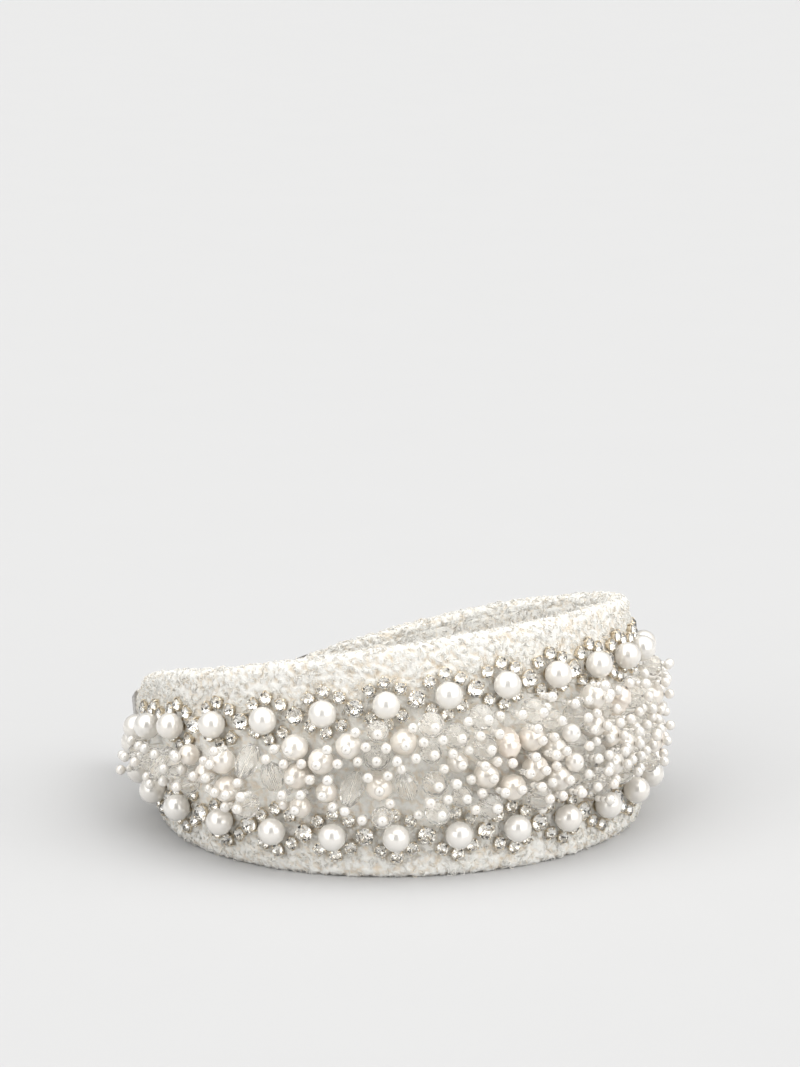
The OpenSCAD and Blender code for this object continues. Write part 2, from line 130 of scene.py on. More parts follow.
def grid_faces(rows, columns, wrap=True):
    """Quads between rows of points; with wrap, each row closes on itself."""
    i, j = np.meshgrid(np.arange(rows - 1), np.arange(columns if wrap else columns - 1), indexing="ij")
    k = (j + 1) % columns
    return np.stack([i * columns + j, i * columns + k, (i + 1) * columns + k,
                     (i + 1) * columns + j], axis=-1).reshape(-1, 4)


def lathe(profile, sides, stagger=False):
    """A closed ring of revolution about Z, through (radius, height) points, which close on the first.
    With stagger, each row of points is turned half a step from the last, and its facets are triangles."""
    rows = len(profile)
    points, faces = [], []
    for row, (radius, height) in enumerate(profile):
        turn = 0.5 * (row % 2) if stagger else 0.0
        angle = 2 * math.pi * (np.arange(sides) + turn) / sides
        points.append(np.stack([radius * np.cos(angle), radius * np.sin(angle),
                                np.full(sides, height)], axis=-1))
    for row in range(rows):
        below, above = row, (row + 1) % rows
        for j in range(sides):
            k = (j + 1) % sides
            a, b = below * sides + j, below * sides + k
            c, d = above * sides + k, above * sides + j
            if not stagger:
                faces.append((a, b, c, d))
            elif row % 2 == 0:
                faces += [(a, b, d), (b, c, d)]
            else:
                faces += [(a, b, c), (a, c, d)]
    return np.concatenate(points), faces


def merged(shapes):
    """The points and faces of several shapes, as one shape."""
    starts = np.cumsum([0] + [len(shape[0]) for shape in shapes])
    faces = [tuple(i + start for i in face) for shape, start in zip(shapes, starts) for face in shape[1]]
    return np.concatenate([shape[0] for shape in shapes]), faces


def joined(name, shapes, materials, smooth=True):
    """One object from shapes, each (points, faces) or (points, faces, material of each face).
    Each shape has a tone of its own, from 0 to 1."""
    rng = np.random.default_rng(len(name) * 97 + len(shapes))
    points, faces = merged(shapes)
    slots = [slot for shape in shapes for slot in (shape[2] if len(shape) > 2 else [0] * len(shape[1]))]
    tones = np.concatenate([np.full(len(shape[0]), rng.random()) for shape in shapes])
    return new_object(name, points, faces, materials, smooth, slots, tones)


def turned_to(axis, spin=0.0):
    """The rotation that takes Z to axis, after a spin about Z."""
    return np.array(Vector(axis).to_track_quat("Z", "Y").to_matrix() @ Matrix.Rotation(spin, 3, "Z"))


def placed(shape, centre, axis, spin=0.0, size=1.0):
    """The shape with its Z along an axis and its origin at a centre."""
    points = (shape[0] * size) @ turned_to(axis, spin).T + np.asarray(centre)
    return (points, *shape[1:])


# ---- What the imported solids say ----

# Points of a solid that are this near, in metres, are one point.
SAME_POINT = 2e-6


def mesh_arrays(node):
    """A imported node's points and triangles."""
    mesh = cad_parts[node].data
    points = np.empty(len(mesh.vertices) * 3)
    mesh.vertices.foreach_get("co", points)
    mesh.calc_loop_triangles()
    triangles = np.empty(len(mesh.loop_triangles) * 3, np.int32)
    mesh.loop_triangles.foreach_get("vertices", triangles)
    return points.reshape(-1, 3), triangles.reshape(-1, 3)


def solids(node):
    """The separate solids of a node, each as an array of its triangles' corners."""
    points, triangles = mesh_arrays(node)
    _, same = np.unique(np.round(points / SAME_POINT).astype(np.int64), axis=0, return_inverse=True)
    corners = same.reshape(-1)[triangles]
    label = np.arange(corners.max() + 1)
    while True:
        lowest = label[corners].min(axis=1)
        new = label.copy()
        for i in range(3):
            np.minimum.at(new, corners[:, i], lowest)
        new = new[new]
        if (new == label).all():
            break
        label = new
    group = label[corners[:, 0]]
    return [points[triangles[group == g]] for g in np.unique(group)]


def middle_of(solid):
    """Centroid of a solid's surface."""
    area = np.linalg.norm(np.cross(solid[:, 1] - solid[:, 0], solid[:, 2] - solid[:, 0]), axis=1)
    return (solid.mean(axis=1) * area[:, None]).sum(axis=0) / area.sum()


def extent_along(solid, centre, axis):
    """Lowest and highest reach along an axis, and the widest radius about it."""
    offset = solid.reshape(-1, 3) - centre
    height = offset @ axis
    radius = np.linalg.norm(offset - height[:, None] * axis, axis=1)
    return height.min(), height.max(), radius.max()


def surface_of(nodes):
    """A search tree over the surfaces of some nodes."""
    points, triangles = [], []
    for node in nodes:
        node_points, node_triangles = mesh_arrays(node)
        triangles += (node_triangles + len(points)).tolist()
        points += node_points.tolist()
    return BVHTree.FromPolygons([Vector(point) for point in points], triangles)


WRAP = surface_of(["crown_cover", "left_arm_cover", "right_arm_cover"])


def out_of_wrap(point):
    """The direction straight out of the wrap, at a point above it."""
    nearest = WRAP.find_nearest(Vector(point))[0]
    return np.array((Vector(point) - nearest).normalized())


def set_pieces(node):
    """Centre, outward axis, lowest and highest reach and radius of each solid set on the wrap."""
    found = []
    for solid in solids(node):
        centre = middle_of(solid)
        axis = out_of_wrap(centre)
        found.append((centre, axis, *extent_along(solid, centre, axis)))
    return found


def stems(node):
    """Foot, tip and direction of each thread."""
    found = []
    for solid in solids(node):
        centre = middle_of(solid)
        spread = np.linalg.svd(solid.reshape(-1, 3) - centre, full_matrices=False)[2][0]
        out = out_of_wrap(centre)
        axis = spread if spread @ out > 0 else -spread
        low, high, _ = extent_along(solid, centre, axis)
        found.append((centre + axis * low, centre + axis * high, axis))
    return found


def strung_pieces(node, threads):
    """What set_pieces finds, for solids strung on threads: each solid's axis is its thread's."""
    feet = np.array([foot for foot, _, _ in threads])
    axes = np.array([axis for _, _, axis in threads])
    found = []
    for solid in solids(node):
        centre = middle_of(solid)
        offset = centre - feet
        height = (offset * axes).sum(axis=1)
        distance = np.linalg.norm(offset - height[:, None] * axes, axis=1)
        axis = axes[distance.argmin()]
        found.append((centre, axis, *extent_along(solid, centre, axis)))
    return found


# ---- Noise over points, in millimetres ----

PRIMES = (73856093, 19349663, 83492791)
# The squared distance, in cells, at which a nub has sunk to nothing.
NUB_SPREAD = 0.62


def scatter(cells, seed, channel):
    """A steady random number from 0 to 1 for each whole-number cell."""
    mixed = np.full(cells.shape[0], seed * 2654435761 + channel * 40503, np.uint64)
    for axis, prime in enumerate(PRIMES):
        mixed ^= (cells[:, axis].astype(np.int64) * prime).astype(np.uint64)
    mixed = (mixed ^ (mixed >> np.uint64(15))) * np.uint64(2246822519)
    mixed = (mixed ^ (mixed >> np.uint64(13))) * np.uint64(3266489917)
    return ((mixed ^ (mixed >> np.uint64(16))) & np.uint64(0xFFFFFF)).astype(float) / 0xFFFFFF


def domes(points, size, seed):
    """Rounded nubs packed over the points: 1 at a nub's top, 0 in the gaps."""
    scaled = points / size
    home = np.floor(scaled).astype(np.int64)
    nearest = np.full(len(points), 9.0)
    for dx in (-1, 0, 1):
        for dy in (-1, 0, 1):
            for dz in (-1, 0, 1):
                cell = home + (dx, dy, dz)
                spot = cell + np.stack([scatter(cell, seed, c) for c in (1, 2, 3)], axis=1)
                nearest = np.minimum(nearest, ((scaled - spot) ** 2).sum(axis=1))
    return np.clip(1 - nearest / NUB_SPREAD, 0, 1)


def swell(points, size, seed):
    """Smooth rises and dips from -1 to 1."""
    scaled = points / size
    home = np.floor(scaled).astype(np.int64)
    part = scaled - home
    part = part * part * (3 - 2 * part)
    total = np.zeros(len(points))
    for dx in (0, 1):
        for dy in (0, 1):
            for dz in (0, 1):
                weight = (np.where(dx, part[:, 0], 1 - part[:, 0])
                          * np.where(dy, part[:, 1], 1 - part[:, 1])
                          * np.where(dz, part[:, 2], 1 - part[:, 2]))
                total += weight * scatter(home + (dx, dy, dz), seed, 5)
    return 2 * total - 1


# ---- Shader node helpers ----


def new_material(name):
    """A new material with its node tree and its main shader."""
    material = bpy.data.materials.new(name)
    material.use_nodes = True
    shader = material.node_tree.nodes["Principled BSDF"]
    return material, material.node_tree, shader


def add(tree, kind, inputs=(), **settings):
    """A node with its settings and input values; an input that is a socket is linked."""
    made = tree.nodes.new(kind)
    for key, value in settings.items():
        setattr(made, key, value)
    for key, value in dict(inputs).items():
        if isinstance(value, bpy.types.NodeSocket):
            tree.links.new(value, made.inputs[key])
        else:
            made.inputs[key].default_value = value
    return made


def connect(tree, shader, **sockets):
    """Links sockets to the shader's inputs of the same names."""
    for key, value in sockets.items():
        tree.links.new(value, shader.inputs[key.replace("_", " ")])


def values(shader, **settings):
    """Sets plain values on the shader's inputs of the same names."""
    for key, value in settings.items():
        shader.inputs[key.replace("_", " ")].default_value = value


def ramp(tree, value, stops):
    """A colour ramp through (position, colour) stops."""
    made = add(tree, "ShaderNodeValToRGB", {"Fac": value})
    elements = made.color_ramp.elements
    while len(elements) < len(stops):
        elements.new(0.5)
    for element, (position, colour) in zip(elements, stops):
        element.position = position
        element.color = (*colour, 1)
    return made.outputs["Color"]


def new_group(name, inputs, outputs):
    """A shader node group with named inputs (kind, default) and outputs (kind)."""
    group = bpy.data.node_groups.new(name, "ShaderNodeTree")
    for key, (kind, default) in inputs.items():
        socket = group.interface.new_socket(key, in_out="INPUT", socket_type=kind)
        socket.default_value = default
    for key, kind in outputs.items():
        group.interface.new_socket(key, in_out="OUTPUT", socket_type=kind)
    return group, group.nodes.new("NodeGroupInput").outputs, group.nodes.new("NodeGroupOutput").inputs


def use_group(tree, group, **inputs):
    """The outputs of a node group placed in a material with its own values."""
    made = add(tree, "ShaderNodeGroup", node_tree=group)
    for key, value in inputs.items():
        made.inputs[key.replace("_", " ")].default_value = value
    return made.outputs


COLOUR, VALUE = "NodeSocketColor", "NodeSocketFloat"


def millimetres(tree):
    """Object coordinates in millimetres."""
    place = add(tree, "ShaderNodeTexCoord").outputs["Object"]
    return add(tree, "ShaderNodeVectorMath", {0: place, 1: (1000, 1000, 1000)},
               operation="MULTIPLY").outputs["Vector"]


def boucle_group():
    """Curled yarn: pale on its loops, with painted shade, darker and warmer, in the hollows between them, and
    fine fibres across it.
    """
    group, given, result = new_group("Boucle yarn", {
        "Loop": (COLOUR, (0.94, 0.92, 0.87, 1)), "Gap": (COLOUR, (0.80, 0.70, 0.56, 1)),
        "Curl Size": (VALUE, 1.1), "Depth": (VALUE, 1.0)},
        {"Color": COLOUR, "Height": VALUE})
    place = millimetres(group)
    bent = add(group, "ShaderNodeTexNoise", {"Vector": place, "Scale": 1.4, "Detail": 2.0})
    shifted = add(group, "ShaderNodeVectorMath", {0: bent.outputs["Color"], 1: (0.9, 0.9, 0.9), 2: place},
                  operation="MULTIPLY_ADD").outputs["Vector"]
    curls = add(group, "ShaderNodeTexVoronoi", {"Vector": shifted, "Scale": given["Curl Size"],
                                               "Randomness": 1.0}, feature="SMOOTH_F1")
    fibres = add(group, "ShaderNodeTexNoise", {"Vector": shifted, "Scale": 5.5, "Detail": 4.0,
                                              "Roughness": 0.65})
    hills = add(group, "ShaderNodeMath", {0: curls.outputs["Distance"], 1: -0.8, 2: 0.9},
                operation="MULTIPLY_ADD").outputs[0]
    height = add(group, "ShaderNodeMath", {0: fibres.outputs["Fac"], 1: 0.55, 2: hills},
                 operation="MULTIPLY_ADD").outputs[0]
    # Low yarn takes the Gap colour, which is painted shade in the hollows between loops. On the wrap and
    # lining the tone attribute is their relief, so it paints shade there too; on loose loops it is a random
    # tone of each loop.
    attribute = add(group, "ShaderNodeAttribute", attribute_name="tone").outputs["Fac"]
    depth = add(group, "ShaderNodeMath", {0: attribute, 1: given["Depth"]}, operation="MULTIPLY").outputs[0]
    lift = add(group, "ShaderNodeMath", {0: height, 1: 0.45, 2: depth}, operation="MULTIPLY_ADD").outputs[0]
    share = add(group, "ShaderNodeMapRange", {"Value": lift, "From Min": 0.40, "From Max": 1.10}).outputs[0]
    mixed = add(group, "ShaderNodeMix", {"Factor": share}, data_type="RGBA")
    group.links.new(given["Gap"], mixed.inputs[6])
    group.links.new(given["Loop"], mixed.inputs[7])
    group.links.new(mixed.outputs[2], result["Color"])
    group.links.new(height, result["Height"])
    return group


def nacre_group():
    """Pearl skin: its body colour drifts to a blush, and fine pits dull its gloss here and there."""
    group, given, result = new_group("Nacre", {
        "Body": (COLOUR, (0.93, 0.91, 0.87, 1)), "Blush": (COLOUR, (0.93, 0.85, 0.78, 1)),
        "Drift": (VALUE, 0.35), "Pits": (VALUE, 0.3)},
        {"Color": COLOUR, "Roughness": VALUE, "Height": VALUE})
    place = millimetres(group)
    drift = add(group, "ShaderNodeTexNoise", {"Vector": place, "Scale": 0.45, "Detail": 3.0})
    each = add(group, "ShaderNodeAttribute", attribute_name="tone").outputs["Fac"]
    share = add(group, "ShaderNodeMath", {0: drift.outputs["Fac"], 1: 0.6, 2: each},
                operation="MULTIPLY_ADD").outputs[0]
    amount = add(group, "ShaderNodeMath", {0: share, 1: given["Drift"]}, operation="MULTIPLY").outputs[0]
    mixed = add(group, "ShaderNodeMix", {"Factor": amount}, data_type="RGBA")
    group.links.new(given["Body"], mixed.inputs[6])
    group.links.new(given["Blush"], mixed.inputs[7])
    fine = add(group, "ShaderNodeTexNoise", {"Vector": place, "Scale": 2.6, "Detail": 5.0,
                                            "Roughness": 0.6})
    rough = add(group, "ShaderNodeMapRange", {"Value": fine.outputs["Fac"], "From Min": 0.3,
                                             "From Max": 0.8, "To Min": 0.08, "To Max": 0.20}).outputs[0]
    height = add(group, "ShaderNodeMath", {0: fine.outputs["Fac"], 1: given["Pits"]},
                 operation="MULTIPLY").outputs[0]
    group.links.new(mixed.outputs[2], result["Color"])
    group.links.new(rough, result["Roughness"])
    group.links.new(height, result["Height"])
    return group


def handling_group():
    """Fine rub marks and a little tarnish on metal, and smears on glass."""
    group, given, result = new_group("Handling", {
        "Bright": (COLOUR, (0.9, 0.85, 0.75, 1)), "Dull": (COLOUR, (0.6, 0.5, 0.4, 1)),
        "Scale": (VALUE, 1.5), "Smooth": (VALUE, 0.1), "Rough": (VALUE, 0.4)},
        {"Color": COLOUR, "Roughness": VALUE, "Height": VALUE})
    place = millimetres(group)
    cloud = add(group, "ShaderNodeTexNoise", {"Vector": place, "Scale": given["Scale"], "Detail": 5.0})
    marks = add(group, "ShaderNodeMapRange", {"Value": cloud.outputs["Fac"], "From Min": 0.35,
                                             "From Max": 0.75}).outputs[0]
    mixed = add(group, "ShaderNodeMix", {"Factor": marks}, data_type="RGBA")
    group.links.new(given["Bright"], mixed.inputs[6])
    group.links.new(given["Dull"], mixed.inputs[7])
    rough = add(group, "ShaderNodeMapRange", {"Value": marks, "To Min": given["Smooth"],
                                             "To Max": given["Rough"]}).outputs[0]
    group.links.new(mixed.outputs[2], result["Color"])
    group.links.new(rough, result["Roughness"])
    group.links.new(cloud.outputs["Fac"], result["Height"])
    return group


BOUCLE, NACRE, HANDLING = boucle_group(), nacre_group(), handling_group()


def bump(tree, height, strength, distance):
    """The normal of a surface that a height raises by up to a distance in metres."""
    return add(tree, "ShaderNodeBump", {"Height": height, "Strength": strength,
                                       "Distance": distance}).outputs["Normal"]


def boucle_material(name, loop, gap, curl, depth):
    material, tree, shader = new_material(name)
    yarn = use_group(tree, BOUCLE, Loop=(*loop, 1), Gap=(*gap, 1), Curl_Size=curl, Depth=depth)
    connect(tree, shader, Base_Color=yarn["Color"], Normal=bump(tree, yarn["Height"], 0.9, 0.0003))
    values(shader, Roughness=0.95, Sheen_Weight=0.35, Sheen_Roughness=0.5)
    return material


def nacre_material(name, body, blush, drift, pits, coat):
    material, tree, shader = new_material(name)
    skin = use_group(tree, NACRE, Body=(*body, 1), Blush=(*blush, 1), Drift=drift, Pits=pits)
    connect(tree, shader, Base_Color=skin["Color"], Roughness=skin["Roughness"],
            Normal=bump(tree, skin["Height"], 0.3, 0.0001))
    values(shader, Metallic=0.28, IOR=1.6, Coat_Weight=coat, Coat_Roughness=0.02, Coat_IOR=1.6)
    return material


def metal_material(name, bright, dull, smooth, rough, scale):
    material, tree, shader = new_material(name)
    rubbed = use_group(tree, HANDLING, Bright=(*bright, 1), Dull=(*dull, 1), Scale=scale,
                       Smooth=smooth, Rough=rough)
    connect(tree, shader, Base_Color=rubbed["Color"], Roughness=rubbed["Roughness"],
            Normal=bump(tree, rubbed["Height"], 0.15, 0.0001))
    values(shader, Metallic=1.0)
    return material


def glass_material(name, clear, smeared, ior, smooth, rough, shadow, clarity):
    """Cut glass, whose shadow lets through the given share of the light."""
    material, tree, shader = new_material(name)
    smear = use_group(tree, HANDLING, Bright=(*clear, 1), Dull=(*smeared, 1), Scale=0.8,
                      Smooth=smooth, Rough=rough)
    connect(tree, shader, Base_Color=smear["Color"], Roughness=smear["Roughness"])
    values(shader, IOR=ior, Transmission_Weight=clarity)
    light = add(tree, "ShaderNodeLightPath").outputs["Is Shadow Ray"]
    through = add(tree, "ShaderNodeBsdfTransparent", {"Color": (shadow, shadow, shadow, 1)})
    mixed = add(tree, "ShaderNodeMixShader", {"Fac": light})
    tree.links.new(shader.outputs[0], mixed.inputs[1])
    tree.links.new(through.outputs[0], mixed.inputs[2])
    tree.links.new(mixed.outputs[0], tree.nodes["Material Output"].inputs["Surface"])
    return material


def foam_material():
    material, tree, shader = new_material("foam")
    cells = add(tree, "ShaderNodeTexVoronoi", {"Vector": millimetres(tree), "Scale": 2.2})
    tint = ramp(tree, cells.outputs["Distance"], ((0.0, (0.86, 0.80, 0.66)), (0.7, (0.93, 0.90, 0.82))))
    connect(tree, shader, Base_Color=tint, Normal=bump(tree, cells.outputs["Distance"], 0.6, 0.0003))
    values(shader, Roughness=0.95)
    return material


def core_material():
    material, tree, shader = new_material("core_plastic")
    grain = add(tree, "ShaderNodeTexNoise", {"Vector": millimetres(tree), "Scale": 3.0, "Detail": 4.0})
    tint = ramp(tree, grain.outputs["Fac"], ((0.3, (0.78, 0.77, 0.74)), (0.7, (0.86, 0.85, 0.83))))
    connect(tree, shader, Base_Color=tint, Normal=bump(tree, grain.outputs["Fac"], 0.2, 0.0001))
    values(shader, Roughness=0.45)
    return material


def thread_material():
    material, tree, shader = new_material("thread")
    ply = add(tree, "ShaderNodeTexWave", {"Vector": millimetres(tree), "Scale": 3.0, "Distortion": 2.0},
              bands_direction="DIAGONAL")
    tint = ramp(tree, ply.outputs["Fac"], ((0.2, (0.82, 0.78, 0.70)), (0.8, (0.93, 0.91, 0.87))))
    connect(tree, shader, Base_Color=tint, Normal=bump(tree, ply.outputs["Fac"], 0.5, 0.0001))
    values(shader, Roughness=0.6, Sheen_Weight=0.3)
    return material


# The second colour of each is painted shade in the hollows between the yarn's loops, and on loose loops also
# a random darker tone.
WOOL = boucle_material("boucle_wrap", (0.935, 0.922, 0.88), (0.86, 0.76, 0.62), 2.2, 1.0)
WOOL_LINING = boucle_material("boucle_lining", (0.95, 0.935, 0.89), (0.90, 0.82, 0.70), 2.2, 1.0)
FOAM, CORE, THREAD = foam_material(), core_material(), thread_material()
CUP_METAL = metal_material("cup_metal", (0.92, 0.84, 0.70), (0.62, 0.52, 0.38), 0.12, 0.38, 1.5)
TIP_METAL = metal_material("tip_metal", (0.55, 0.53, 0.50), (0.35, 0.33, 0.31), 0.22, 0.45, 0.8)
FOIL = metal_material("stone_foil", (0.97, 0.96, 0.94), (0.86, 0.84, 0.80), 0.03, 0.10, 2.0)
ROW_PEARL = nacre_material("row_pearl_skin", (0.87, 0.85, 0.81), (0.87, 0.80, 0.72), 0.3, 0.1, 1.0)
FRINGE_PEARL = nacre_material("fringe_pearl_skin", (0.90, 0.87, 0.82), (0.91, 0.83, 0.73), 0.5, 0.5, 0.8)
BAROQUE_PEARL = nacre_material("baroque_pearl_skin", (0.90, 0.85, 0.79), (0.91, 0.80, 0.69), 0.6, 0.8, 0.7)
STOPPER_PEARL = nacre_material("stopper_pearl_skin", (0.89, 0.87, 0.83), (0.90, 0.83, 0.75), 0.4, 0.1, 1.0)
CRYSTAL = glass_material("crystal", (1.0, 0.985, 0.955), (0.98, 0.96, 0.92), 1.5,
                         0.0, 0.04, 0.97, 0.86)
STONE_GLASS = glass_material("stone_glass", (1.0, 0.995, 0.98), (0.98, 0.97, 0.95), 1.56,
                             0.0, 0.02, 0.85, 1.0)
SEED_GLASS = glass_material("seed_glass", (1.0, 0.99, 0.97), (0.97, 0.96, 0.93), 1.45,
                            0.03, 0.2, 0.97, 0.75)

# ---- The wrapped band ----

SECTION_CORNER = 2.4
SECTION_POINTS, LINING_POINTS, LAYER_POINTS = 230, 150, 60
ROW_STEP, LINING_STEP, LAYER_STEP = 0.62, 0.8, 2.0
WRAP_END, LAYER_END, LINING_END = 203.6, 202.0, 200.5
LINING_THICKNESS, LINING_CORNER, LINING_MARGIN, LINING_OVERLAP = 0.6, 0.28, 3.2, 0.05
CAP_MOUTH = HALF_LENGTH - CAP_LENGTH
# Outer and inner face of each layer inside the wrap, out from the band's outer face.
PAD_FACES, CORE_FACES = (-1.1, -3.4), (-3.5, -4.7)


def outline(half, thickness, corner, count):
    """Evenly spaced points round a section of the band, as out, across and the direction each faces.
    They start at the middle of the outer face."""
    flat, depth = half - corner, thickness / 2 - corner
    bend = np.linspace(0, math.pi / 2, 9)
    out, across, facing = [0.0], [0.0], [0.0]
    for quarter, (outer, upper) in enumerate(((1, 1), (-1, 1), (-1, -1), (1, -1))):
        angle = quarter * math.pi / 2 + bend
        out += (outer * depth - thickness / 2 + corner * np.cos(angle)).tolist()
        across += (upper * flat + corner * np.sin(angle)).tolist()
        facing += angle.tolist()
    out, across, facing = out + [0.0], across + [0.0], facing + [2 * math.pi]
    length = np.concatenate([[0], np.cumsum(np.hypot(np.diff(out), np.diff(across)))])
    places = np.arange(count) / count * length[-1]
    return [np.interp(places, length, along) for along in (out, across, facing)]


def sections(side, stations, thickness, corner, count, out_shift=0.0, narrower=0.0):
    """Rows of section points along one side, in metres, with the direction each faces."""
    rows, directions = [], []
    for s in stations:
        out, across, facing = outline(float(half_width(s)) - narrower, thickness, corner, count)
        place = band_point(side, np.full(count, s), out + out_shift, across)
        further = band_point(side, np.full(count, s), out + out_shift + np.cos(facing),
                             across + np.sin(facing))
        rows.append(place)
        directions.append((further - place) / MM)
    return np.array(rows), np.array(directions)


def strip_object(name, side, rows, materials, tone=None, sealed=False):
    """A closed strip through rows of section points, with a flat end at each end.
    Sealed ends share their edges' points, which makes the strip one closed surface."""
    count, columns = rows.shape[:2]
    faces = grid_faces(count, columns)
    if side == RIGHT:
        faces = faces[:, ::-1]
    points, start = rows.reshape(-1, 3), 0
    if not sealed:
        points, start = np.concatenate([points, rows[0], rows[-1]]), count * columns
    first = tuple(range(start, start + columns))
    start = start + columns if not sealed else (count - 1) * columns
    last = tuple(range(start, start + columns))
    ends = [first[::-1], last] if side == LEFT else [first, last[::-1]]
    if tone is not None:
        tone = tone.reshape(-1) if sealed else np.concatenate([tone.reshape(-1), tone[0], tone[-1]])
    obj = new_object(name, points, faces.tolist() + ends, materials, tone=tone)
    for end in obj.data.polygons[-2:]:
        end.use_smooth = False
    return obj


def bend_at_flex(obj, side):
    """Bakes the piece's placement into its points; the points on either side of the flex line are found but
    not used.
    """
    before, after = (band_point(side, np.array(FLEX_PLACE + reach), -THICKNESS / 2, 0.0)
                     for reach in (-FLEX_REACH, FLEX_REACH))
    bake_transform(obj)


# ---- Curled yarn ----

RELIEF_DROP = 0.35
LINING_RELIEF = 0.2
LOOP_STEPS, LOOP_SIDES = 6, 3
HAIR_STEPS, HAIR_SIDES, HAIR_RADIUS = 4, 3, 0.035
# Loops and hairs on each rim of one half of the wrap, and on one half of the lining.
RIM_LOOPS, RIM_HAIRS = 5000, 2200
LINING_LOOPS, LINING_HAIRS = 4500, 1500


def yarn_relief(points):
    """Height of the curled yarn over the cloth's plain surface, in millimetres."""
    nubs, curls, waves = domes(points, 1.7, 3), domes(points, 1.1, 5), swell(points, 7.0, 9)
    return 0.75 * nubs + 0.45 * curls + 0.1 * waves


def tube_faces(count, steps, sides):
    """Faces of many tubes alike, whose points follow one another."""
    return (grid_faces(steps, sides)[None] + (np.arange(count) * steps * sides)[:, None, None]).reshape(-1, 4)


def curled_loops(centres, normals, count, rng):
    """Small half rings of yarn that stand on the surface, as points and faces."""
    pick = rng.integers(0, len(centres), count)
    centre, normal = centres[pick], normals[pick]
    other = np.cross(normal, rng.normal(size=(count, 3)))
    along = other / np.linalg.norm(other, axis=1)[:, None]
    across = np.cross(normal, along)
    radius = rng.uniform(0.35, 0.7, count) * MM
    thick = rng.uniform(0.12, 0.2, count) * MM
    points = np.empty((count, LOOP_STEPS, LOOP_SIDES, 3))
    for i, angle in enumerate(np.linspace(-0.5, math.pi + 0.5, LOOP_STEPS)):
        outward = math.cos(angle) * along + 0.8 * math.sin(angle) * normal
        spine = centre + radius[:, None] * outward
        for j in range(LOOP_SIDES):
            around = 2 * math.pi * j / LOOP_SIDES
            points[:, i, j] = spine + thick[:, None] * (math.cos(around) * outward
                                                        + math.sin(around) * across)
    return points.reshape(-1, 3), tube_faces(count, LOOP_STEPS, LOOP_SIDES)


def stray_fibres(centres, normals, count, rng):
    """Fine bent hairs that stand off the yarn, as points and faces."""
    pick = rng.integers(0, len(centres), count)
    centre, normal = centres[pick], normals[pick]
    lean = normal + rng.normal(scale=0.7, size=(count, 3))
    lean /= np.linalg.norm(lean, axis=1)[:, None]
    curl = np.cross(lean, rng.normal(size=(count, 3)))
    length = rng.uniform(0.5, 1.3, count) * MM
    points = np.empty((count, HAIR_STEPS, HAIR_SIDES, 3))
    side_way = np.cross(lean, curl)
    side_way /= np.linalg.norm(side_way, axis=1)[:, None]
    curl_way = np.cross(side_way, lean)
    for i, share in enumerate(np.arange(HAIR_STEPS) / (HAIR_STEPS - 1)):
        spine = centre + length[:, None] * (share * lean + 0.35 * share**2 * curl)
        for j in range(HAIR_SIDES):
            around = 2 * math.pi * j / HAIR_SIDES
            points[:, i, j] = spine + (1 - 0.6 * share) * HAIR_RADIUS * MM * (
                math.cos(around) * side_way + math.sin(around) * curl_way)
    return points.reshape(-1, 3), tube_faces(count, HAIR_STEPS, HAIR_SIDES)


def on_floor(points):
    """The same points, pressed flat where they would go under the floor."""
    return np.stack([points[..., 0], points[..., 1], np.maximum(points[..., 2], 0)], axis=-1)


def dress_with_yarn(name, material, centres, normals, loops, hairs, rng):
    """Curled loops and stray fibres over given places, as a piece of their own."""
    curls = curled_loops(centres, normals, loops, rng)
    fibres = stray_fibres(centres, normals, hairs, rng)
    yarn = joined(name, [(on_floor(points), faces.tolist()) for points, faces in (curls, fibres)],
                  [material])
    corners, run = len(yarn.data.vertices), LOOP_STEPS * LOOP_SIDES
    tone = rng.uniform(0.25, 1.1, corners // run + 1).repeat(run)[:corners]
    yarn.data.attributes["tone"].data.foreach_set("value", tone.astype(np.float32))
    return yarn


# ---- The wrap ----

# The cloth simulation's grid is this many times coarser than the wrap's own.
CLOTH_STEP = 4
CLOTH_FRAMES = 20
CLOTH_PRESSURE = 16.0
FILL_CAP = 0.9
# How far the trim's sewn edges stay from the rims, and where along an arm the trim has ended.
SEWN_INSET = 9.0
TRIM_END = 150.0
CROWNING = 0.5
# The wrap loses its curls over this length before the cap's mouth, and runs this deep inside the cap.
CAP_RUN, CAP_SINK = 1.2, 0.1


